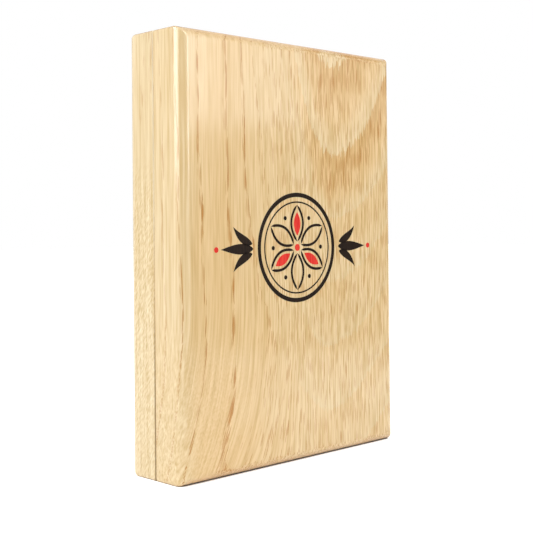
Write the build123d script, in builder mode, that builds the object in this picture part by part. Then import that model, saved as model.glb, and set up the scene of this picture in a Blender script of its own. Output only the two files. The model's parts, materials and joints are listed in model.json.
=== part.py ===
"""Playing card case in solid oak for two decks lying side by side, stood on a short end.

Two equal trays are milled from boards and meet at mid depth. Two small brass butt hinges on the right long
side let the front tray, the lid, open flat like a book. Disc magnets in the left walls hold it shut. Each
pocket floor has a glued felt pad.

Millimetres. +Z is up along the length, the lid faces -Y, and the origin is at the middle of the footprint,
the hinge barrels included. The parting plane is y = 0.
"""

import os
from math import radians, tan

from build123d import *

# Cards: the size of one card, and the room that one deck gets
card_width = 63.5
card_length = 88.9
card_play = 1.0
deck_room = 17.0

# Wood
outer_wall = 10.5
centre_rib = 4.0
floor_thickness = 5.1
parting_gap = 0.2
roundover = 4.0
corner_ease = 1.0
edge_break = 0.3
cutter_radius = 3.0

# Felt pads
felt_thickness = 1.0
felt_play = 0.3

# Butt hinges
hinge_length = 25.0
hinge_inset = 32.0
leaf_thickness = 1.0
leaf_land = 2.5
mortise_play = 0.1
barrel_radius = 1.75
barrel_standoff = 0.3
knuckle_count = 3
knuckle_gap = 0.15
pin_radius = 0.75
pin_overhang = 0.3
fixed_pin_play = 0.01
turning_pin_play = 0.05

# Countersunk brass screws
screw_head_radius = 1.85
screw_shank_radius = 1.0
screw_length = 9.5
screw_spacing = 14.0
screw_play = 0.05
countersink_angle = 82

# Disc magnets
magnet_radius = 3.0
magnet_height = 3.0
magnet_inset = 20.0
magnet_play = 0.05
magnet_sink = 0.1

# The case follows from the cards
pocket_width = card_length + 2 * card_play
pocket_height = card_width + 2 * card_play
pocket_depth = (deck_room - parting_gap) / 2 + felt_thickness
case_width = pocket_width + 2 * outer_wall
case_height = 2 * pocket_height + centre_rib + 2 * outer_wall
tray_thickness = floor_thickness + pocket_depth

# Stations across the width: the barrels stand out on the right, and the footprint is centred with them
barrel_overhang = barrel_standoff + 2 * barrel_radius
case_mid_x = -barrel_overhang / 2
case_left_x = case_mid_x - case_width / 2
case_right_x = case_mid_x + case_width / 2
barrel_x = case_right_x + barrel_standoff + barrel_radius
leaf_inner_x = case_right_x - outer_wall + leaf_land
screw_x = (leaf_inner_x + case_right_x) / 2
magnet_x = case_left_x + outer_wall / 2

# Stations up the height
case_mid_z = case_height / 2
pocket_offset = (pocket_height + centre_rib) / 2
rows = {"lower": -1, "upper": 1}
pocket_z = {row: case_mid_z + sign * pocket_offset for row, sign in rows.items()}
hinge_z = {row: case_mid_z + sign * (case_mid_z - hinge_inset) for row, sign in rows.items()}
magnet_z = {row: case_mid_z + sign * (case_mid_z - magnet_inset) for row, sign in rows.items()}

# Knuckles of one hinge, numbered from its lower end: the base leaf has the even ones, the lid leaf the odd
knuckle_length = (hinge_length - (knuckle_count - 1) * knuckle_gap) / knuckle_count
knuckle_pitch = knuckle_length + knuckle_gap
knuckles = {"base": range(0, knuckle_count, 2), "lid": range(1, knuckle_count, 2)}
bore_radius = {"base": pin_radius + fixed_pin_play, "lid": pin_radius + turning_pin_play}

# The base lies behind the parting plane and the lid in front of it
sides = {"base": 1, "lid": -1}


def mating_plane(half, x, z, depth=0.0):
    """Plane at (x, z) and some depth behind a half's mating face, pointing out of its wood."""
    y = sides[half] * (parting_gap / 2 + depth)
    return Plane(origin=(x, y, z), x_dir=(1, 0, 0), z_dir=(0, -sides[half], 0))


def screw_seats(half, middle_z):
    """Planes on a leaf's face where its two screws go."""
    return [mating_plane(half, screw_x, middle_z + end * screw_spacing / 2) for end in (-1, 1)]


def knuckle_planes(middle_z, numbers, shift=0.0):
    """Planes across the barrel at the lower ends of the numbered knuckles."""
    foot_z = middle_z - hinge_length / 2 + shift
    return [Plane.XY.offset(foot_z + n * knuckle_pitch) for n in numbers]


def make_tray(half):
    """One half of the case: a milled board with two pockets, a rib between them and its fittings' seats."""
    inward = Axis((0, 0, 0), (0, sides[half], 0))
    with BuildPart() as tray:
        with BuildSketch(mating_plane(half, case_mid_x, case_mid_z)):
            Rectangle(case_width, case_height)
        extrude(amount=-tray_thickness)
        fillet(tray.faces().sort_by(inward)[-1].edges(), roundover)
        fillet(tray.edges().filter_by(Axis.Y), corner_ease)

        with BuildSketch(*[mating_plane(half, case_mid_x, z) for z in pocket_z.values()]):
            RectangleRounded(pocket_width, pocket_height, cutter_radius)
        extrude(amount=-pocket_depth, mode=Mode.SUBTRACT)
        chamfer(tray.faces().sort_by(inward)[0].edges(), edge_break)

        mortise_reach = case_right_x + barrel_radius - leaf_inner_x + mortise_play
        with BuildSketch(*[mating_plane(half, leaf_inner_x - mortise_play, z) for z in hinge_z.values()]):
            Rectangle(mortise_reach, hinge_length + 2 * mortise_play, align=(Align.MIN, Align.CENTER))
        extrude(amount=-leaf_thickness, mode=Mode.SUBTRACT)

        pilots = [seat for z in hinge_z.values() for seat in screw_seats(half, z)]
        with Locations(*pilots):
            Hole(screw_shank_radius + screw_play, screw_length + screw_play)
        with Locations(*[mating_plane(half, magnet_x, z) for z in magnet_z.values()]):
            Hole(magnet_radius + magnet_play, magnet_sink + magnet_height)
    return tray


def make_leaf(half, middle_z):
    """Hinge leaf let in flush with the mating face, with its own knuckles bored for the pin."""
    other = "lid" if half == "base" else "base"
    with BuildPart() as leaf:
        with BuildSketch(mating_plane(half, leaf_inner_x, middle_z)):
            Rectangle(barrel_x - leaf_inner_x, hinge_length, align=(Align.MIN, Align.CENTER))
        extrude(amount=-leaf_thickness)

        with BuildSketch(*knuckle_planes(middle_z, knuckles[other], -knuckle_gap)):
            with Locations((barrel_x, 0)):
                Rectangle(2 * barrel_radius + barrel_standoff, 2 * barrel_radius + barrel_standoff)
        extrude(amount=knuckle_length + 2 * knuckle_gap, mode=Mode.SUBTRACT)

        with BuildSketch(*knuckle_planes(middle_z, knuckles[half])):
            with Locations((barrel_x, 0)):
                Circle(barrel_radius)
        extrude(amount=knuckle_length)

        with Locations((barrel_x, 0, middle_z)):
            Hole(bore_radius[half], hinge_length)
        with Locations(*screw_seats(half, middle_z)):
            CounterSinkHole(
                screw_shank_radius + screw_play,
                screw_head_radius + screw_play,
                counter_sink_angle=countersink_angle,
            )
    return leaf


def make_pin(middle_z):
    """Hinge pin held in the base leaf's knuckles, standing a little out of both ends of the barrel."""
    with BuildPart() as pin:
        with Locations((barrel_x, 0, middle_z)):
            Cylinder(pin_radius, hinge_length + 2 * pin_overhang)
    return pin


def make_screw():
    """Countersunk screw at the origin, its head's face on z = 0. The slot and the thread are left off."""
    head_height = (screw_head_radius - screw_shank_radius) / tan(radians(countersink_angle / 2))
    with BuildPart() as screw:
        with BuildSketch(Plane.XZ):
            with BuildLine():
                Polyline(
                    (0, 0),
                    (screw_head_radius, 0),
                    (screw_shank_radius, -head_height),
                    (screw_shank_radius, -screw_length),
                    (0, -screw_length),
                    close=True,
                )
            make_face()
        revolve(axis=Axis.Z)
    return screw


def make_screws(half, middle_z):
    """The two screws of one leaf, as separate solids."""
    screw = make_screw()
    with BuildPart() as screws:
        with Locations(*screw_seats(half, middle_z)):
            add(screw.part)
    return screws


def make_magnet(half, z):
    """Disc magnet just below the mating face."""
    with BuildPart() as magnet:
        with BuildSketch(mating_plane(half, magnet_x, z, magnet_sink)):
            Circle(magnet_radius)
        extrude(amount=-magnet_height)
    return magnet


def make_pad(half, z):
    """Felt pad on a pocket's floor."""
    with BuildPart() as pad:
        with BuildSketch(mating_plane(half, case_mid_x, z, pocket_depth)):
            RectangleRounded(pocket_width - 2 * felt_play, pocket_height - 2 * felt_play, cutter_radius)
        extrude(amount=felt_thickness)
    return pad


pieces = {}
for half in sides:
    pieces[f"{half}_tray"] = make_tray(half)
for row in rows:
    pieces[f"{row}_hinge_pin"] = make_pin(hinge_z[row])
    for half in sides:
        pieces[f"{row}_hinge_{half}_leaf"] = make_leaf(half, hinge_z[row])
        pieces[f"{row}_hinge_{half}_screws"] = make_screws(half, hinge_z[row])
        pieces[f"{row}_{half}_magnet"] = make_magnet(half, magnet_z[row])
        pieces[f"{row}_{half}_pad"] = make_pad(half, pocket_z[row])

os.makedirs("parts", exist_ok=True)
for name, piece in pieces.items():
    piece.part.label = name
    export_step(piece.part, f"parts/{name}.step")

print(f"case {case_width:.1f} x {2 * tray_thickness + parting_gap:.1f} x {case_height:.1f}, {len(pieces)} nodes")
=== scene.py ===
"""Lacquered oak playing card case, stood on a short end on a white studio floor.

Meshes are in metres and patterns in millimetres. The grain runs up +Z, the lid faces -Y, and the hinges are
on +X.
"""

import json

import bmesh
import bpy
import numpy as np
from mathutils import Matrix, Vector


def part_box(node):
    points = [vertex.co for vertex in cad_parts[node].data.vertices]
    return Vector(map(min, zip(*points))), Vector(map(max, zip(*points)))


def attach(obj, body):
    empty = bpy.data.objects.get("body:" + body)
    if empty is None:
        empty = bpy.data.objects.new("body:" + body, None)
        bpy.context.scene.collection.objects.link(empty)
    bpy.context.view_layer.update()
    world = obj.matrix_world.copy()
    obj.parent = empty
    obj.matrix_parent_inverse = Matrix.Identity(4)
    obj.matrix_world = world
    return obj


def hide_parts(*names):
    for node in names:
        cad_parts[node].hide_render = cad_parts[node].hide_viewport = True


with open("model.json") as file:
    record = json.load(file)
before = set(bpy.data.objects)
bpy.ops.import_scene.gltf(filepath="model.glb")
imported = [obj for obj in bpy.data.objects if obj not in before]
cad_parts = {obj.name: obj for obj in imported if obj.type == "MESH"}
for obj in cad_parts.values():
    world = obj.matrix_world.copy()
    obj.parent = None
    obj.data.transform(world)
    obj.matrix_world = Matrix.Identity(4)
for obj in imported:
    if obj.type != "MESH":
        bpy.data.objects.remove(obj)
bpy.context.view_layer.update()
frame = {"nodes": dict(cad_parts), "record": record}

MM = 0.001


def box_in_mm(node):
    """The low and high corners of a CAD node's box, in millimetres."""
    return [np.array(corner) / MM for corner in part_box(node)]


lid_low, lid_high = box_in_mm("lid_tray")
base_back_y = box_in_mm("base_tray")[1][1]
case_mid_x = (lid_low[0] + lid_high[0]) / 2
case_height = lid_high[2]


# Small tools

def linear(code):
    """Linear RGBA of an sRGB hex colour."""
    srgb = np.array([int(code[i:i + 2], 16) for i in (1, 3, 5)]) / 255
    rgb = np.where(srgb <= 0.04045, srgb / 12.92, ((srgb + 0.055) / 1.055) ** 2.4)
    return (*rgb.tolist(), 1.0)


def add(tree, kind, inputs=(), **settings):
    """Adds a node with its settings. Its inputs get values, sockets or other nodes' first enabled outputs."""
    node = tree.nodes.new(kind)
    for name, value in settings.items():
        setattr(node, name, value)
    for key, value in dict(inputs).items():
        named = (s for s in node.inputs if s.identifier == key)
        socket = node.inputs[key] if isinstance(key, int) else next(named)
        if isinstance(value, bpy.types.Node):
            value = next(s for s in value.outputs if s.enabled)
        if isinstance(value, bpy.types.NodeSocket):
            tree.links.new(value, socket)
        else:
            socket.default_value = value
    return node


def new_tree(owner):
    """An empty node tree for a material or a world."""
    owner.use_nodes = True
    owner.node_tree.nodes.clear()
    return owner.node_tree


def new_material(name):
    """A material, its empty node tree, and the shaded point in its piece's own frame, in millimetres."""
    material = bpy.data.materials.new(name)
    tree = new_tree(material)
    coordinate = add(tree, "ShaderNodeTexCoord")
    point = add(tree, "ShaderNodeVectorMath", {0: coordinate.outputs["Object"], "Scale": 1 / MM},
                operation="SCALE")
    return material, tree, point


def fill_ramp(ramp_node, stops):
    """Sets a colour ramp from (position, hex colour) pairs."""
    elements = ramp_node.color_ramp.elements
    while len(elements) < len(stops):
        elements.new(0.5)
    for element, (position, code) in zip(elements, stops):
        element.position = position
        element.color = linear(code)


def make_piece(name, points, faces, material, sharp_angle=40.0):
    """A mesh object at the world's origin, from points in millimetres, with doubled points joined."""
    same_point = 1e-4
    mesh = bpy.data.meshes.new(name)
    mesh.from_pydata((np.asarray(points) * MM).tolist(), [], np.asarray(faces).tolist())
    built = bmesh.new()
    built.from_mesh(mesh)
    bmesh.ops.remove_doubles(built, verts=built.verts, dist=same_point * MM)
    bmesh.ops.recalc_face_normals(built, faces=built.faces)
    built.to_mesh(mesh)
    built.free()
    mesh.materials.append(material)
    mesh.shade_smooth()
    mesh.set_sharp_from_angle(angle=np.radians(sharp_angle))
    piece = bpy.data.objects.new(name, mesh)
    bpy.context.scene.collection.objects.link(piece)
    return piece


def grid_faces(rows, columns):
    """Quads between neighbouring points of a grid."""
    index = np.arange(rows * columns).reshape(rows, columns)
    corners = (index[:-1, :-1], index[1:, :-1], index[1:, 1:], index[:-1, 1:])
    return np.stack([corner.ravel() for corner in corners], axis=1)


def join_grids(grids):
    """The points and quads of several grids, each of rows by columns by 3, as one mesh."""
    points, faces, count = [], [], 0
    for grid in grids:
        rows, columns = grid.shape[:2]
        faces.append(grid_faces(rows, columns) + count)
        points.append(grid.reshape(-1, 3))
        count += rows * columns
    return np.concatenate(points), np.concatenate(faces)


# Oak

def oak(name, shift, crown_x, face_y, depth_slope, sweep, fleck_top, fleck_strength):
    """White oak, planed, sanded and sprayed with a semi-gloss lacquer.

    The yearly rings give soft ochre and pale bands. They cross the board's face as tall V shapes round its
    crown, and as near-upright lines 11 mm apart to the left of it. Each ring starts with open pores, cut
    lengthwise into dashes: dotted lines on the left, and dense fine dashes all over the crown. Below
    fleck_top the grain is curly and shows short slanting flecks. The lacquer is a clear coat over a duller
    wood.

    shift moves the noises, so that each board has its own, and crown_x is where the crown is. The rings reach
    farther out by depth_slope for each millimetre towards +Y from the board's outer face, at face_y. Below
    sweep_top the grain leans left, by sweep times the square of the distance below it.
    """
    line_spacing = 11.0
    ring_height = 24.4
    pith_depth = 16.0
    first_ring = 114.5
    level_ring = 60.0
    left_lag = 0.6
    right_slope = 0.6
    sweep_top = 65.0
    material, tree, point = new_material(name)
    axes = add(tree, "ShaderNodeSeparateXYZ", {0: point})
    x, y, z = (axes.outputs[axis] for axis in "XYZ")

    # The grain wanders by a few millimetres, over some centimetres
    shifted = add(tree, "ShaderNodeVectorMath", {0: point, 1: shift})
    stretched = add(tree, "ShaderNodeVectorMath", {0: shifted, 1: (1 / 30, 1 / 30, 1 / 80)},
                    operation="MULTIPLY")
    wander = add(tree, "ShaderNodeTexNoise", {"Vector": stretched, "Scale": 1.0, "Detail": 2.0})
    wander = add(tree, "ShaderNodeMath", {0: wander, 1: 12.0, 2: -6.0}, operation="MULTIPLY_ADD")

    # It leans left near the foot, on the left half
    below = add(tree, "ShaderNodeMath", {0: sweep_top, 1: z}, operation="SUBTRACT")
    below = add(tree, "ShaderNodeMath", {0: below, 1: 0.0}, operation="MAXIMUM")
    below = add(tree, "ShaderNodeMath", {0: below, 1: 2.0}, operation="POWER")
    upright = add(tree, "ShaderNodeMapRange", {"Value": x, "From Min": -38.0, "From Max": 2.0,
                  "To Min": sweep, "To Max": 0.0})
    swept = add(tree, "ShaderNodeMath", {0: below, 1: upright, 2: x}, operation="MULTIPLY_ADD")
    across = add(tree, "ShaderNodeMath", {0: swept, 1: wander}, operation="ADD")
    across = add(tree, "ShaderNodeMath", {0: across, 1: -crown_x}, operation="ADD")
    fibre_x = add(tree, "ShaderNodeMath", {0: wander, 1: 0.3, 2: swept}, operation="MULTIPLY_ADD")
    grain = add(tree, "ShaderNodeCombineXYZ", {"X": fibre_x, "Y": y, "Z": z})
    grain = add(tree, "ShaderNodeVectorMath", {0: grain, 1: shift})

    # Rings from the pith outwards: steep to the left of the crown and gentler to its right
    left = add(tree, "ShaderNodeMath", {0: across, 1: 0.0}, operation="MINIMUM")
    right = add(tree, "ShaderNodeMath", {0: across, 1: 0.0}, operation="MAXIMUM")
    bent = add(tree, "ShaderNodeMath", {0: right, 1: right_slope, 2: left}, operation="MULTIPLY_ADD")
    reach = add(tree, "ShaderNodeCombineXYZ", {"X": bent, "Y": pith_depth})
    reach = add(tree, "ShaderNodeVectorMath", {0: reach}, operation="LENGTH")
    depth = add(tree, "ShaderNodeMath", {0: y, 1: face_y}, operation="SUBTRACT")
    reach = add(tree, "ShaderNodeMath", {0: depth, 1: depth_slope, 2: reach.outputs["Value"]},
                operation="MULTIPLY_ADD")
    start = (first_ring - level_ring) / ring_height - pith_depth / line_spacing
    ring = add(tree, "ShaderNodeMath", {0: reach, 1: 1 / line_spacing, 2: start}, operation="MULTIPLY_ADD")

    # They climb the board, fully at the crown, hardly at its left edge and more slowly above the first ring
    crown = add(tree, "ShaderNodeMapRange", {"Value": across, "From Min": -55.0, "From Max": -8.0},
                interpolation_type="SMOOTHSTEP")
    climb = add(tree, "ShaderNodeMath", {0: crown, 1: 0.9 / ring_height, 2: 0.1 / ring_height},
                operation="MULTIPLY_ADD")
    height = add(tree, "ShaderNodeMath", {0: z, 1: level_ring}, operation="SUBTRACT")
    above = add(tree, "ShaderNodeMath", {0: z, 1: first_ring}, operation="SUBTRACT")
    above = add(tree, "ShaderNodeMath", {0: above, 1: 0.0}, operation="MAXIMUM")
    height = add(tree, "ShaderNodeMath", {0: above, 1: -0.3, 2: height}, operation="MULTIPLY_ADD")
    climb = add(tree, "ShaderNodeMath", {0: climb, 1: height}, operation="MULTIPLY")
    ring = add(tree, "ShaderNodeMath", {0: ring, 1: climb}, operation="SUBTRACT")
    ring = add(tree, "ShaderNodeMath", {0: crown, 1: left_lag, 2: ring}, operation="MULTIPLY_ADD")
    ring = add(tree, "ShaderNodeMath", {0: ring, 1: left_lag}, operation="SUBTRACT")

    # Ragged ring edges, in tongues some 0.7 mm wide and 18 mm long
    stretched = add(tree, "ShaderNodeVectorMath", {0: grain, 1: (1 / 0.7, 1 / 0.7, 1 / 18)},
                    operation="MULTIPLY")
    ragged = add(tree, "ShaderNodeTexNoise", {"Vector": stretched, "Scale": 1.0, "Detail": 1.0})
    ragged = add(tree, "ShaderNodeMath", {0: ragged, 1: -0.5}, operation="ADD")
    loose = add(tree, "ShaderNodeMath", {0: crown, 1: 0.24, 2: 0.06}, operation="MULTIPLY_ADD")
    ring = add(tree, "ShaderNodeMath", {0: ragged, 1: loose, 2: ring}, operation="MULTIPLY_ADD")
    phase = add(tree, "ShaderNodeMath", {0: ring}, operation="FRACT")
    number = add(tree, "ShaderNodeMath", {0: ring}, operation="FLOOR")

    # Ochre just after each ring's start, most of all in one broad ring high on the crown. A pale rim comes
    # before the next one
    late = add(tree, "ShaderNodeMapRange", {"Value": phase, "From Min": 0.1, "From Max": 0.95},
               interpolation_type="SMOOTHSTEP")
    strong = add(tree, "ShaderNodeMapRange", {"Value": number, "From Min": 0.0, "From Max": 1.0,
                 "To Min": 0.42, "To Max": 0.08})
    middle = add(tree, "ShaderNodeMapRange", {"Value": across, "From Min": -22.0, "From Max": 0.0,
                 "To Min": 0.2}, interpolation_type="SMOOTHSTEP")
    strong = add(tree, "ShaderNodeMath", {0: strong, 1: middle}, operation="MULTIPLY")
    early = add(tree, "ShaderNodeMath", {0: 1.0, 1: late}, operation="SUBTRACT")
    ochre = add(tree, "ShaderNodeMath", {0: early, 1: strong}, operation="MULTIPLY")
    rim = add(tree, "ShaderNodeMapRange", {"Value": phase, "From Min": 0.88, "From Max": 1.0,
              "To Max": -0.09})
    ochre = add(tree, "ShaderNodeMath", {0: rim, 1: middle, 2: ochre}, operation="MULTIPLY_ADD")

    # Slow cloudy zones, and paler wood on the crown and from some 70 mm to the left of it
    stretched = add(tree, "ShaderNodeVectorMath", {0: grain, 1: (1 / 16, 1 / 16, 1 / 35)},
                    operation="MULTIPLY")
    zones = add(tree, "ShaderNodeTexNoise", {"Vector": stretched, "Scale": 1.0, "Detail": 2.0})
    zones = add(tree, "ShaderNodeMapRange", {"Value": zones, "From Min": 0.35, "From Max": 0.65,
                "To Min": 0.23, "To Max": 0.17})
    ochre = add(tree, "ShaderNodeMath", {0: ochre, 1: zones}, operation="ADD")
    ochre = add(tree, "ShaderNodeMath", {0: crown, 1: -0.13, 2: ochre}, operation="MULTIPLY_ADD")
    ochre = add(tree, "ShaderNodeMath", {0: ochre, 1: 0.13}, operation="ADD")
    off_crown = add(tree, "ShaderNodeMath", {0: x, 1: crown_x}, operation="SUBTRACT")
    pale = add(tree, "ShaderNodeMapRange", {"Value": off_crown, "From Min": -79.5, "From Max": -63.5,
               "To Min": -0.24, "To Max": 0.0}, interpolation_type="SMOOTHSTEP")
    ochre = add(tree, "ShaderNodeMath", {0: ochre, 1: pale}, operation="ADD")
    bands = add(tree, "ShaderNodeValToRGB", {"Fac": ochre})
    fill_ramp(bands, [(0.0, "#f0daac"), (0.35, "#eecb91"), (0.7, "#e3ba7b"), (1.0, "#d6a966")])

    # Straight stripes about two millimetres apart, strongest on the left
    stretched = add(tree, "ShaderNodeVectorMath", {0: grain, 1: (1 / 1.1, 1 / 1.1, 1 / 110)},
                    operation="MULTIPLY")
    stripes = add(tree, "ShaderNodeTexNoise", {"Vector": stretched, "Scale": 1.0, "Detail": 2.0,
                  "Roughness": 0.7})
    stripes = add(tree, "ShaderNodeMapRange", {"Value": stripes, "From Min": 0.3, "From Max": 0.7,
                  "To Min": -1.0, "To Max": 1.0})
    calm = add(tree, "ShaderNodeMath", {0: crown, 1: -0.1, 2: 0.12}, operation="MULTIPLY_ADD")

    # Fibre streaks, strongest on the crown. Real fibres are far finer than the render can show, so they are
    # drawn as coarse as they need to be to show: 0.66 mm wide and 14 mm long
    stretched = add(tree, "ShaderNodeVectorMath", {0: grain, 1: (1 / 0.66, 1 / 0.66, 1 / 14)},
                    operation="MULTIPLY")
    fibre = add(tree, "ShaderNodeTexNoise", {"Vector": stretched, "Scale": 1.0, "Detail": 0.6})
    streak = add(tree, "ShaderNodeMapRange", {"Value": fibre, "From Min": 0.34, "From Max": 0.66,
                 "To Min": 1.0, "To Max": -1.0})
    contrast = add(tree, "ShaderNodeMath", {0: crown, 1: 0.09, 2: 0.06}, operation="MULTIPLY_ADD")
    streak = add(tree, "ShaderNodeMath", {0: streak, 1: contrast, 2: 1.0}, operation="MULTIPLY_ADD")
    streak = add(tree, "ShaderNodeMath", {0: stripes, 1: calm, 2: streak}, operation="MULTIPLY_ADD")

    # Slanting flecks of curly grain, 0.6 by 1.8 mm, low on the left and strongest at the board's edge
    slant = add(tree, "ShaderNodeMath", {0: z, 1: 0.45, 2: y}, operation="MULTIPLY_ADD")
    curly = add(tree, "ShaderNodeCombineXYZ", {"X": fibre_x, "Y": slant, "Z": z})
    curly = add(tree, "ShaderNodeVectorMath", {0: curly, 1: (1 / 0.6, 1 / 0.6, 1 / 1.8)},
                operation="MULTIPLY")
    flecks = add(tree, "ShaderNodeTexNoise", {"Vector": curly, "Scale": 1.0, "Detail": 1.0})
    flecks = add(tree, "ShaderNodeMapRange", {"Value": flecks, "From Min": 0.3, "From Max": 0.7,
                 "To Min": fleck_strength, "To Max": -fleck_strength})
    low = add(tree, "ShaderNodeMapRange", {"Value": z, "From Min": fleck_top - 25.0, "From Max": fleck_top,
              "To Min": 1.0, "To Max": 0.0})
    on_left = add(tree, "ShaderNodeMapRange", {"Value": crown, "From Max": 0.5, "To Min": 1.0, "To Max": 0.0})
    low = add(tree, "ShaderNodeMath", {0: low, 1: on_left}, operation="MULTIPLY")
    near_edge = add(tree, "ShaderNodeMapRange", {"Value": x, "From Min": -45.0, "From Max": -15.0,
                    "To Min": 1.0, "To Max": 0.25})
    low = add(tree, "ShaderNodeMath", {0: low, 1: near_edge}, operation="MULTIPLY")
    streak = add(tree, "ShaderNodeMath", {0: flecks, 1: low, 2: streak}, operation="MULTIPLY_ADD")

    # Darker wood is also redder
    blue = add(tree, "ShaderNodeMath", {0: streak, 1: 2.0}, operation="POWER")
    green = add(tree, "ShaderNodeMath", {0: streak, 1: 1.1}, operation="POWER")
    red = add(tree, "ShaderNodeMath", {0: streak, 1: 0.75}, operation="POWER")
    tint = add(tree, "ShaderNodeCombineXYZ", {"X": red, "Y": green, "Z": blue})
    ground = add(tree, "ShaderNodeVectorMath", {0: bands, 1: tint}, operation="MULTIPLY")

    # Pores, one to a cell of 0.34 by 10 mm. On the left they open at each ring's start, less in some rings
    # and high up. On the crown they open more where the wood is ochre
    stretched = add(tree, "ShaderNodeVectorMath", {0: grain, 1: (1 / 0.34, 1 / 0.34, 1 / 10)},
                    operation="MULTIPLY")
    cells = add(tree, "ShaderNodeTexVoronoi", {"Vector": stretched, "Scale": 1.0, "Randomness": 0.75})
    chance = add(tree, "ShaderNodeSeparateColor", {0: cells.outputs["Color"]})
    fainter = add(tree, "ShaderNodeTexWhiteNoise", {"W": number}, noise_dimensions="1D")
    lined = add(tree, "ShaderNodeMapRange", {"Value": phase, "From Min": 0.05, "From Max": 0.28,
                "To Min": 0.65, "To Max": -0.1})
    lined = add(tree, "ShaderNodeMath", {0: fainter, 1: -0.22, 2: lined}, operation="MULTIPLY_ADD")
    high = add(tree, "ShaderNodeMapRange", {"Value": z, "From Min": 110.0, "From Max": 135.0,
               "To Max": -0.06})
    lined = add(tree, "ShaderNodeMath", {0: lined, 1: high}, operation="ADD")
    dashed = add(tree, "ShaderNodeMapRange", {"Value": ochre, "From Min": 0.1, "From Max": 0.6, "To Min": 0.2,
                 "To Max": 0.37})
    open_size = add(tree, "ShaderNodeMix", {"Factor_Float": on_left, "A_Float": dashed, "B_Float": lined})
    size = add(tree, "ShaderNodeMath", {0: chance, 1: 0.1, 2: open_size}, operation="MULTIPLY_ADD")
    inside = add(tree, "ShaderNodeMath", {0: size, 1: cells.outputs["Distance"]}, operation="SUBTRACT")
    pores = add(tree, "ShaderNodeMapRange", {"Value": inside, "From Min": 0.0, "From Max": 0.08})

    # Lacquer fills the pores more on the boards' narrow sides
    coordinate = add(tree, "ShaderNodeTexCoord")
    normal = add(tree, "ShaderNodeSeparateXYZ", {0: coordinate.outputs["Normal"]})
    sideways = add(tree, "ShaderNodeMath", {0: normal.outputs["X"]}, operation="ABSOLUTE")
    filled = add(tree, "ShaderNodeMapRange", {"Value": sideways, "From Min": 0.5, "From Max": 0.95,
                 "To Min": 0.9, "To Max": 0.45})
    strength = add(tree, "ShaderNodeMath", {0: pores, 1: filled}, operation="MULTIPLY")
    wood = add(tree, "ShaderNodeMix", {"Factor_Float": strength, "A_Color": ground,
               "B_Color": linear("#c07d22")}, data_type="RGBA")

    # Sawn ends drink more lacquer and look a little darker
    facing = add(tree, "ShaderNodeMath", {0: normal.outputs["Z"]}, operation="ABSOLUTE")
    facing = add(tree, "ShaderNodeMapRange", {"Value": facing, "From Min": 0.35, "From Max": 1.0,
                 "To Min": 0.0, "To Max": 0.5})
    wood = add(tree, "ShaderNodeMix", {"Factor_Float": facing, "A_Color": wood, "B_Color": linear("#d9b27a")},
               data_type="RGBA", blend_type="MULTIPLY")

    # Parting line's broken edges: painted brown shade of the gap near the foot, painted pale highlight above
    off_parting = add(tree, "ShaderNodeMath", {0: y}, operation="ABSOLUTE")
    broken = add(tree, "ShaderNodeMapRange", {"Value": off_parting, "From Min": 0.3, "From Max": 0.5,
                 "To Min": 1.0, "To Max": 0.0})
    sloping = add(tree, "ShaderNodeMath", {0: normal.outputs["Y"]}, operation="ABSOLUTE")
    sloping = add(tree, "ShaderNodeMapRange", {"Value": sloping, "From Min": 0.8, "From Max": 0.95,
                  "To Min": 1.0, "To Max": 0.0})
    edge = add(tree, "ShaderNodeMath", {0: broken, 1: sloping}, operation="MULTIPLY")
    # Painted shade of the gap, fading out between 30 and 75 mm up
    painted_gap_shade = add(tree, "ShaderNodeMapRange", {"Value": z, "From Min": 30.0, "From Max": 75.0,
                   "To Min": 0.75, "To Max": 0.0})
    painted_gap_shade = add(tree, "ShaderNodeMath", {0: painted_gap_shade, 1: edge}, operation="MULTIPLY")
    wood = add(tree, "ShaderNodeMix", {"Factor_Float": painted_gap_shade, "A_Color": wood,
               "B_Color": linear("#86652a")}, data_type="RGBA")
    # Painted highlight on the broken edges, growing between 60 and 90 mm up
    painted_edge_highlight = add(tree, "ShaderNodeMapRange", {"Value": z, "From Min": 60.0, "From Max": 90.0, "To Max": 0.8})
    painted_edge_highlight = add(tree, "ShaderNodeMath", {0: painted_edge_highlight, 1: edge}, operation="MULTIPLY")
    wood = add(tree, "ShaderNodeMix", {"Factor_Float": painted_edge_highlight, "A_Color": wood, "B_Color": linear("#f8ebcd")},
               data_type="RGBA")

    relief = add(tree, "ShaderNodeMath", {0: pores, 1: -1.0, 2: fibre}, operation="MULTIPLY_ADD")
    bump = add(tree, "ShaderNodeBump", {"Strength": 0.35, "Distance": 0.04 * MM, "Height": relief})
    shader = add(tree, "ShaderNodeBsdfPrincipled", {
        "Base Color": wood, "Roughness": 0.5, "IOR": 1.5, "Specular IOR Level": 0.15, "Normal": bump,
        "Coat Weight": 0.8, "Coat Roughness": 0.13, "Coat IOR": 1.5})
    add(tree, "ShaderNodeOutputMaterial", {"Surface": shader})
    return material


# Metals, felt and ink

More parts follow.
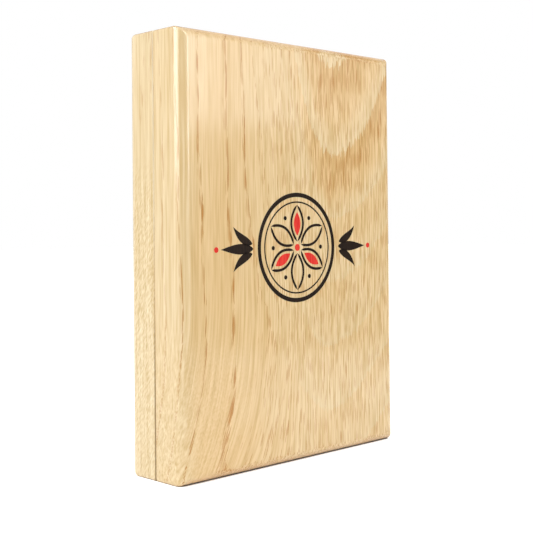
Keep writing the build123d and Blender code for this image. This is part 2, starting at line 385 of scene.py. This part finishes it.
def rolled_brass():
    """Brass strip, rolled and then satin brushed along the hinge, with a little tarnish.

    Fine lines stretch the highlights, and slow patches are duller and browner. Real brush lines are finer:
    these are 0.2 mm apart and some 8 mm long, so that they show.
    """
    material, tree, point = new_material("satin_brass")
    stretched = add(tree, "ShaderNodeVectorMath", {0: point, 1: (5.0, 5.0, 0.12)}, operation="MULTIPLY")
    brushed = add(tree, "ShaderNodeTexNoise", {"Vector": stretched, "Scale": 1.0, "Detail": 2.0})
    patches = add(tree, "ShaderNodeTexNoise", {"Vector": point, "Scale": 0.12, "Detail": 3.0})
    colour = add(tree, "ShaderNodeValToRGB", {"Fac": patches})
    fill_ramp(colour, [(0.3, "#a98c55"), (0.7, "#ccb079")])
    roughness = add(tree, "ShaderNodeMath", {0: brushed, 1: 0.2, 2: 0.2}, operation="MULTIPLY_ADD")
    bump = add(tree, "ShaderNodeBump", {"Strength": 0.6, "Distance": 0.02 * MM, "Height": brushed})
    shader = add(tree, "ShaderNodeBsdfPrincipled", {
        "Base Color": colour, "Metallic": 1.0, "Roughness": roughness, "Normal": bump})
    add(tree, "ShaderNodeOutputMaterial", {"Surface": shader})
    return material


def nickel_plate():
    """Bright nickel plated on sintered magnet discs: pale, faintly warm, with an orange peel of 0.3 mm."""
    material, tree, point = new_material("nickel_plate")
    peel = add(tree, "ShaderNodeTexNoise", {"Vector": point, "Scale": 3.0, "Detail": 2.0})
    smudges = add(tree, "ShaderNodeTexNoise", {"Vector": point, "Scale": 0.6, "Detail": 3.0})
    colour = add(tree, "ShaderNodeValToRGB", {"Fac": smudges})
    fill_ramp(colour, [(0.35, "#9f9c95"), (0.65, "#b3b0a9")])
    roughness = add(tree, "ShaderNodeMath", {0: smudges, 1: 0.25, 2: 0.08}, operation="MULTIPLY_ADD")
    bump = add(tree, "ShaderNodeBump", {"Strength": 0.2, "Distance": 0.01 * MM, "Height": peel})
    shader = add(tree, "ShaderNodeBsdfPrincipled", {
        "Base Color": colour, "Metallic": 1.0, "Roughness": roughness, "Normal": bump})
    add(tree, "ShaderNodeOutputMaterial", {"Surface": shader})
    return material


def wool_felt():
    """Pressed wool felt, 1 mm thick and dyed green: matted fibres, with painted highlights on the raised
    tips.

    Real fibres are a tenth as wide: these are some 0.3 mm wide, so that they show.
    """
    material, tree, point = new_material("pressed_wool_felt")
    bend = add(tree, "ShaderNodeTexNoise", {"Vector": point, "Scale": 0.8, "Detail": 2.0})
    bent = add(tree, "ShaderNodeVectorMath", {0: bend.outputs["Color"], "Scale": 4.0}, operation="SCALE")
    bent = add(tree, "ShaderNodeVectorMath", {0: point, 1: bent})
    fibres = add(tree, "ShaderNodeTexVoronoi", {"Vector": bent, "Scale": 1.6}, feature="DISTANCE_TO_EDGE")
    mat = add(tree, "ShaderNodeTexNoise", {"Vector": point, "Scale": 2.5, "Detail": 4.0, "Roughness": 0.7})
    fibre = add(tree, "ShaderNodeMapRange", {"Value": fibres, "From Min": 0.0, "From Max": 0.25,
                "To Min": 0.35, "To Max": 0.0})
    height = add(tree, "ShaderNodeMath", {0: fibre, 1: mat}, operation="ADD")
    # Colour by height: painted shade in the hollows between fibres and painted highlights on their tips
    colour = add(tree, "ShaderNodeValToRGB", {"Fac": height})
    fill_ramp(colour, [(0.35, "#173c2a"), (0.6, "#23523a"), (0.9, "#3b6b4f")])
    bump = add(tree, "ShaderNodeBump", {"Strength": 0.7, "Distance": 0.15 * MM, "Height": height})
    shader = add(tree, "ShaderNodeBsdfPrincipled", {
        "Base Color": colour, "Roughness": 0.95, "Specular IOR Level": 0.2, "Normal": bump,
        "Sheen Weight": 0.35, "Sheen Roughness": 0.5, "Sheen Tint": linear("#7fa88c")})
    add(tree, "ShaderNodeOutputMaterial", {"Surface": shader})
    return material


def printed_ink(name, dark, light):
    """Screen-printed ink, hardly lacquered: a dense film that sinks a little into the grain of the wood.

    It sinks in streaks of 0.6 by 5 mm, coarser than real ones so that they show.
    """
    material, tree, point = new_material(name)
    stretched = add(tree, "ShaderNodeVectorMath", {0: point, 1: (1.6, 1.6, 0.2)}, operation="MULTIPLY")
    sinking = add(tree, "ShaderNodeTexNoise", {"Vector": stretched, "Scale": 1.0, "Detail": 2.0})
    colour = add(tree, "ShaderNodeValToRGB", {"Fac": sinking})
    fill_ramp(colour, [(0.35, dark), (0.7, light)])
    bump = add(tree, "ShaderNodeBump", {"Strength": 0.2, "Distance": 0.03 * MM, "Height": sinking})
    shader = add(tree, "ShaderNodeBsdfPrincipled", {
        "Base Color": colour, "Roughness": 0.45, "IOR": 1.5, "Specular IOR Level": 0.1, "Normal": bump,
        "Coat Weight": 0.2, "Coat Roughness": 0.13, "Coat IOR": 1.5})
    add(tree, "ShaderNodeOutputMaterial", {"Surface": shader})
    return material


# Screws

def slotted_screw(seat, outward, slot_angle):
    """Grid of a slotted countersunk screw, closed at its tip.

    Rows are chords across the head, side by side. Each row climbs from the tip's middle up the side, crosses
    the head along its chord and goes down the other side. The slot is the rows near the middle, sunk below
    the head's face. Its ends lie on the cone, so its chords are shorter.
    """
    head, shank, length = 1.85, 1.0, 9.5
    cone_half_angle = 41.0
    slot_half_width, slot_depth = 0.28, 0.55
    eased_rim = 0.07
    rim_drop = eased_rim * 0.6
    rows_beside_slot = 12

    taper = np.tan(np.radians(cone_half_angle))
    head_height = (head - shank) / taper
    slot_edge = slot_half_width / head
    flat_rows = np.sin(np.linspace(np.arcsin(slot_edge), np.pi / 2, rows_beside_slot))
    upper = np.concatenate([[slot_edge], flat_rows])
    sunk = np.concatenate([[1.0], np.zeros(rows_beside_slot)])
    across = np.concatenate([-upper[::-1], upper]) * head
    sunk = np.concatenate([sunk[::-1], sunk])
    angle = np.arcsin(np.clip(across / head, -1, 1))
    level = 0 * angle
    rim = np.where(sunk > 0, head - slot_depth * taper, head)
    chord_rim = np.where(sunk > 0, rim, head - eased_rim)
    half_chord = np.sqrt(np.clip(chord_rim ** 2 - across ** 2, 0, None))
    half_rim = np.sqrt(np.clip(rim ** 2 - across ** 2, 0, None))
    side = [
        (level, level, level - length),
        (shank * np.cos(angle), shank * np.sin(angle), level - length),
        (shank * np.cos(angle), shank * np.sin(angle), level - head_height),
        (half_rim, across, -np.where(sunk > 0, slot_depth, rim_drop)),
        (half_chord, np.clip(across, -chord_rim, chord_rim), -sunk * slot_depth),
    ]
    right = np.stack([np.stack(ring, axis=1) for ring in side], axis=1)
    left = right[:, ::-1] * [-1, 1, 1]
    grid = np.concatenate([right, left], axis=1)
    turn = np.radians(slot_angle)
    along = np.array([np.cos(turn), 0.0, np.sin(turn)])
    beside = np.cross(outward, along)
    return seat + grid[..., :1] * along + grid[..., 1:2] * beside + grid[..., 2:] * outward


def make_screws(half, row, slot_angles):
    """The two screws of one hinge leaf, flush with the leaf's face, in place of the plain ones."""
    node = f"{row}_hinge_{half}_screws"
    low, high = box_in_mm(node)
    outward = np.array([0.0, -1.0 if half == "base" else 1.0, 0.0])
    face_y = low[1] if half == "base" else high[1]
    middle_x, head_radius = (low[0] + high[0]) / 2, (high[0] - low[0]) / 2
    seats = [np.array([middle_x, face_y, z]) for z in (low[2] + head_radius, high[2] - head_radius)]
    grids = [slotted_screw(seat, outward, turn) for seat, turn in zip(seats, slot_angles)]
    screws = make_piece(f"{row}_{half}_slotted_screws", *join_grids(grids), brass, sharp_angle=30.0)
    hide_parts(node)
    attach(screws, half)


# Felt pads

def make_pad(half, row, seed):
    """Felt pad glued in a pocket: a rounded rectangle with a softly cut edge and a faintly uneven face.

    Each corner's square of the grid is turned into a quarter disc, x to x times the root of 1 - z squared / 2
    and the same for z. The height falls to half along a quarter circle, within cut_edge of the rim, and
    waves some 40 to 110 mm long lower the face by up to wave_depth.
    """
    radius, cut_edge, wave_depth = 3.0, 0.35, 0.12
    inner_lines = 40
    corner_lines = np.array([0.0, 0.03, 0.07, 0.12, 0.25, 0.5, 0.75, 1.0])
    node = f"{row}_{half}_pad"
    low, high = box_in_mm(node)
    thickness = high[1] - low[1]
    half_x, half_z = (high[0] - low[0]) / 2, (high[2] - low[2]) / 2

    def spread(half_size):
        """Grid lines across the pad, closer together at its rim and where its corners begin."""
        inner = np.linspace(0, half_size - radius, inner_lines)
        one_side = np.concatenate([inner, half_size - radius * (1 - corner_lines[1:])])
        one_side = np.unique(np.concatenate([one_side, half_size - radius * corner_lines[1:4]]))
        return np.concatenate([-one_side[:0:-1], one_side])

    x, z = np.meshgrid(spread(half_x), spread(half_z), indexing="ij")
    a = np.clip((np.abs(x) - (half_x - radius)) / radius, 0, 1)
    b = np.clip((np.abs(z) - (half_z - radius)) / radius, 0, 1)
    narrow_a, narrow_b = np.sqrt(1 - b ** 2 / 2), np.sqrt(1 - a ** 2 / 2)
    round_x = np.sign(x) * (np.minimum(np.abs(x), half_x - radius) + radius * a * narrow_a)
    round_z = np.sign(z) * (np.minimum(np.abs(z), half_z - radius) + radius * b * narrow_b)
    inset = radius * (1 - np.hypot(a * narrow_a, b * narrow_b))
    fall = np.clip(1 - inset / cut_edge, 0, 1)
    waves = 0.5 + 0.25 * np.sin(x / 9 + 1.7 * seed + np.sin(z / 13))
    waves = waves + 0.25 * np.sin(z / 7 + seed + 1.3 * np.sin(x / 17))
    face = thickness - wave_depth * waves * (1 - fall) - 0.5 * thickness * (1 - np.sqrt(1 - fall ** 2))

    outline = [np.s_[0, :], np.s_[:, -1], np.s_[-1, ::-1], np.s_[::-1, 0]]
    rim_x, rim_z, rim_face = (
        np.concatenate([values[part] for part in outline]) for values in (round_x, round_z, face))
    top = np.stack([round_x, face, round_z], axis=-1)
    wall = np.stack([np.stack([rim_x, height, rim_z], axis=-1) for height in (rim_face, 0 * rim_x)])
    back = np.stack([round_x, 0 * face, round_z], axis=-1)
    away_from_floor = -1.0 if half == "base" else 1.0
    glued_y = high[1] if half == "base" else low[1]
    middle = np.array([(low[0] + high[0]) / 2, glued_y, (low[2] + high[2]) / 2])
    grids = [middle + grid * [1.0, away_from_floor, 1.0] for grid in (top, wall, back)]
    pad = make_piece(f"{row}_{half}_felt_pad", *join_grids(grids), felt, sharp_angle=70.0)
    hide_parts(node)
    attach(pad, half)


# Ornament

ornament_z = 79.5
ink_rise, ink_root = 0.04, -0.02
circle_points, dot_points, line_points = 145, 25, 41


def stroke(path, half_width):
    """Grid of an inked stroke along a path: a thin film that stands a little off the lid, rooted in it."""
    along = np.gradient(path, axis=0)
    along /= np.linalg.norm(along, axis=1, keepdims=True)
    beside = np.stack([-along[:, 1], along[:, 0]], axis=1) * np.asarray(half_width)[:, None]
    corners = [(path + beside, ink_rise), (path - beside, ink_rise), (path - beside, ink_root),
               (path + beside, ink_root)]
    rings = [np.stack([case_mid_x + c[:, 0], 0 * c[:, 0] + lid_low[1] - h, ornament_z + c[:, 1]], axis=1)
             for c, h in corners]
    return np.stack(rings + rings[:1], axis=1)


def ring_stroke(radius, half_width):
    """A full circle."""
    turn = np.linspace(0, 2 * np.pi, circle_points)
    circle = radius * np.stack([np.cos(turn), np.sin(turn)], axis=1)
    grid = stroke(circle, np.full(circle_points, half_width))
    grid[0] = grid[-1] = (grid[0] + grid[-1]) / 2
    return grid


def dot(centre, radius):
    """A filled disc: a straight path as wide as the circle is there."""
    t = np.sin(np.linspace(-np.pi / 2, np.pi / 2, dot_points))
    path = np.asarray(centre) + radius * np.stack([t, 0 * t], axis=1)
    return stroke(path, radius * np.sqrt(np.clip(1 - t ** 2, 0, None)))


def leaf_path(start, angle, length, bow):
    """Points of a bowed line, and how far along each is. The bow is a parabola's height at mid length."""
    t = np.linspace(0, 1, line_points)
    turn = np.radians(angle)
    line = np.stack([t * length, 4 * bow * t * (1 - t)], axis=1)
    turned = line @ np.array([[np.cos(turn), np.sin(turn)], [-np.sin(turn), np.cos(turn)]])
    return np.asarray(start) + turned, t


def make_ornament():
    """A generic rosette of six petals in a double ring, with a palmette of three leaves to each side.

    Every second petal has a red heart, and a dot lies between each two. A stroke's width falls to nothing
    at its ends: a petal's outline as a parabola cut off at its full width, a heart as a whole parabola, and
    a leaf as a sine that is widest nearer its root.
    """
    rings = ((19.6, 0.8), (16.9, 0.28))
    petal_start, petal_length, petal_bow, petal_line = 2.2, 13.6, 3.1, 0.5
    heart_start, heart_length, heart_half_width = 4.4, 8.8, 1.75
    between_radius, between_dot, middle_dot = 12.6, 0.8, 1.3
    palmette_x, tilt_out, tilt_up, palmette_bow = 22.6, 0.8, 3.2, 1.1
    leaves = ((0.0, 15.5, 1.9), (34.0, 11.0, 1.5), (-34.0, 11.0, 1.5))
    tip_x, tip_dot = 40.2, 1.0

    black, red = [ring_stroke(radius, half_width) for radius, half_width in rings], []
    for number in range(6):
        angle = 30.0 + 60.0 * number
        direction = np.array([np.cos(np.radians(angle)), np.sin(np.radians(angle))])
        for side in (-1, 1):
            path, t = leaf_path(direction * petal_start, angle, petal_length, side * petal_bow)
            black.append(stroke(path, petal_line * np.clip(12 * t * (1 - t), 0, 1)))
        if number % 2:
            path, t = leaf_path(direction * heart_start, angle, heart_length, 0.0)
            red.append(stroke(path, heart_half_width * 4 * t * (1 - t)))
        between = np.radians(angle + 30.0)
        black.append(dot((between_radius * np.cos(between), between_radius * np.sin(between)), between_dot))
    red.append(dot((0.0, 0.0), middle_dot))
    for side, heading in ((-1, 180.0), (1, 0.0)):
        for tilt, length, half_width in leaves:
            rise = np.sin(np.radians(tilt))
            start = (side * (palmette_x + tilt_out * abs(rise)), rise * tilt_up)
            bow = -side * np.sign(tilt) * palmette_bow
            path, t = leaf_path(start, heading + side * tilt, length, bow)
            black.append(stroke(path, half_width * np.sin(np.pi * t ** 0.7)))
        red.append(dot((side * tip_x, 0.0), tip_dot))
    for name, grids, ink in (("ornament_black", black, black_ink), ("ornament_red", red, red_ink)):
        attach(make_piece(name, *join_grids(grids), ink), "lid")


# Finishes of the CAD nodes, and the pieces that take some nodes' place

lid_oak = oak("lacquered_oak_lid", shift=(0.0, 0.0, 0.0), crown_x=16.5, face_y=lid_low[1], depth_slope=1.3,
              sweep=0.0038, fleck_top=55.0, fleck_strength=0.08)
base_oak = oak("lacquered_oak_base", shift=(310.0, 40.0, 170.0), crown_x=66.7, face_y=base_back_y,
               depth_slope=0.15, sweep=0.0, fleck_top=115.0, fleck_strength=0.16)
brass = rolled_brass()
nickel = nickel_plate()
felt = wool_felt()
black_ink = printed_ink("black_printing_ink", "#1a0f07", "#2a1a0d")
red_ink = printed_ink("red_printing_ink", "#e42c24", "#f74638")

tray_finishes = {"lid_tray": lid_oak, "base_tray": base_oak}
slot_finishes = {"brass": brass, "nickel": nickel, "felt": felt}
for part in frame["record"]["subparts"]:
    node = part["node"]
    finish = tray_finishes[node] if node in tray_finishes else slot_finishes[part["material_slot"]]
    mesh = frame["nodes"][node].data
    mesh.materials.clear()
    mesh.materials.append(finish)

slot_angles = {("base", "lower"): (78.0, 21.0), ("base", "upper"): (101.0, 64.0),
               ("lid", "lower"): (12.0, 88.0), ("lid", "upper"): (47.0, 130.0)}
for (half, row), angles in slot_angles.items():
    make_screws(half, row, angles)
for seed, (half, row) in enumerate(slot_angles):
    make_pad(half, row, seed)
make_ornament()


# Studio

def seen_directly(tree):
    """1 for rays from the camera, from gloss and through glass, which all see the white backdrop."""
    path = add(tree, "ShaderNodeLightPath")
    seen = add(tree, "ShaderNodeMath", {0: path.outputs["Is Camera Ray"], 1: path.outputs["Is Glossy Ray"]},
               operation="MAXIMUM")
    return add(tree, "ShaderNodeMath", {0: seen, 1: path.outputs["Is Transmission Ray"]}, operation="MAXIMUM")


def make_world(ambient_strength):
    """White backdrop, and an even room light for the object."""
    world = bpy.data.worlds.new("studio_room")
    tree = new_tree(world)
    strength = add(tree, "ShaderNodeMix", {"Factor_Float": seen_directly(tree), "A_Float": ambient_strength,
                   "B_Float": 1.0})
    background = add(tree, "ShaderNodeBackground", {"Color": (1.0, 1.0, 1.0, 1.0), "Strength": strength})
    add(tree, "ShaderNodeOutputWorld", {"Surface": background})
    bpy.context.scene.world = world


def make_floor():
    """White painted board that fades into the backdrop. It keeps the case's shadow, and painted brown shade
    fills the crease.
    """
    half_size, crease_reach = 3000.0, 5.0
    material = bpy.data.materials.new("white_floor_board")
    tree = new_tree(material)
    # Painted shade: within 5 mm of the case the floor turns brown and its glow falls away
    crease = add(tree, "ShaderNodeAmbientOcclusion", {"Distance": crease_reach * MM})
    shade = add(tree, "ShaderNodeValToRGB", {"Fac": crease.outputs["AO"]})
    fill_ramp(shade, [(0.08, "#4a3820"), (0.22, "#e6dfd6"), (0.5, "#f4f4f4")])
    paint = add(tree, "ShaderNodeBsdfDiffuse", {"Color": shade})
    lift = add(tree, "ShaderNodeMapRange", {"Value": crease.outputs["AO"], "From Min": 0.08, "From Max": 0.4,
               "To Max": 0.75})
    glow = add(tree, "ShaderNodeEmission", {"Strength": lift})
    lifted = add(tree, "ShaderNodeAddShader", {0: paint, 1: glow})
    surface = add(tree, "ShaderNodeMixShader", {0: seen_directly(tree), 1: paint, 2: lifted})
    add(tree, "ShaderNodeOutputMaterial", {"Surface": surface})
    signs = ((-1, -1), (1, -1), (1, 1), (-1, 1))
    points = [(x_sign * half_size, y_sign * half_size, 0) for x_sign, y_sign in signs]
    make_piece("floor", points, [(0, 1, 2, 3)], material)


def make_panel_light(name, azimuth, elevation, distance, width, height, radiance, only_gloss=False):
    """Soft box that faces the case, in metres. Azimuth 0 is before the lid, and positive to the hinges."""
    turn, lift = np.radians([azimuth, elevation])
    away = Vector((np.sin(turn) * np.cos(lift), -np.cos(turn) * np.cos(lift), np.sin(lift)))
    light = bpy.data.lights.new(name, "AREA")
    light.shape = "RECTANGLE"
    light.size = width
    light.size_y = height
    light.energy = radiance * np.pi * width * height
    lamp = bpy.data.objects.new(name, light)
    lamp.location = Vector((case_mid_x * MM, 0, case_height / 2 * MM)) + away * distance
    lamp.rotation_mode = "QUATERNION"
    lamp.rotation_quaternion = away.to_track_quat("Z", "Y")
    lamp.visible_camera = False
    lamp.visible_diffuse = not only_gloss
    bpy.context.scene.collection.objects.link(lamp)


def make_flag(name, azimuth, distance, width, height):
    """Upright grey card, in millimetres, that shades the case from reflections. Only gloss sees it."""
    material = bpy.data.materials.new("grey_card")
    tree = new_tree(material)
    surface = add(tree, "ShaderNodeBsdfDiffuse", {"Color": linear("#606060")})
    add(tree, "ShaderNodeOutputMaterial", {"Surface": surface})
    turn = np.radians(azimuth)
    out = np.array([np.sin(turn), -np.cos(turn), 0.0]) * distance
    along = np.array([np.cos(turn), np.sin(turn), 0.0]) * width / 2
    up = np.array([0.0, 0.0, height])
    points = [out - along, out + along, out + along + up, out - along + up]
    flag = make_piece(name, points, [(0, 1, 2, 3)], material)
    flag.visible_camera = False
    flag.visible_diffuse = False
    flag.visible_shadow = False
    flag.visible_transmission = False


def make_camera():
    """The photograph's viewpoint, in mm and degrees, found from the case's corners in the picture."""
    place = (-278.7, -284.5, 88.6)
    yaw, pitch, roll = np.radians([44.038, -0.857, -0.547])
    focal_pixels = 1035.5
    image_pixels = 533
    axis_pixel_y = 207.8
    ahead = np.array([np.sin(yaw) * np.cos(pitch), np.cos(yaw) * np.cos(pitch), -np.sin(pitch)])
    level = np.cross(ahead, [0, 0, 1])
    level /= np.linalg.norm(level)
    above = np.cross(level, ahead)
    right = np.cos(roll) * level + np.sin(roll) * above
    up = -np.sin(roll) * level + np.cos(roll) * above
    data = bpy.data.cameras.new("photo_camera")
    data.lens = focal_pixels * data.sensor_width / image_pixels
    data.shift_y = axis_pixel_y / image_pixels - 0.5
    data.clip_start = 0.01
    camera = bpy.data.objects.new("photo_camera", data)
    rows = [[right[i], up[i], -ahead[i], place[i] * MM] for i in range(3)]
    camera.matrix_world = Matrix(rows + [[0, 0, 0, 1]])
    bpy.context.scene.collection.objects.link(camera)
    bpy.context.scene.camera = camera


make_camera()
make_world(ambient_strength=0.55)
make_floor()
make_panel_light("front_soft_box", azimuth=32.0, elevation=36.0, distance=1.2, width=0.62, height=1.45,
                 radiance=2.1)
make_panel_light("left_soft_box", azimuth=-98.0, elevation=34.0, distance=1.2, width=0.55, height=1.0,
                 radiance=3.4)
make_panel_light("front_edge_strip", azimuth=26.0, elevation=30.0, distance=1.1, width=0.44, height=1.1,
                 radiance=6.5, only_gloss=True)
make_panel_light("left_edge_strip", azimuth=-94.0, elevation=30.0, distance=1.1, width=1.05, height=1.1,
                 radiance=7.0, only_gloss=True)
make_flag("front_flag", azimuth=47.0, distance=330.0, width=260.0, height=155.0)
make_flag("camera_flag", azimuth=-25.0, distance=700.0, width=1000.0, height=900.0)
make_flag("right_flag", azimuth=82.0, distance=800.0, width=350.0, height=900.0)
make_flag("rear_flag", azimuth=150.0, distance=800.0, width=350.0, height=900.0)

bpy.context.scene.view_settings.view_transform = "Standard"
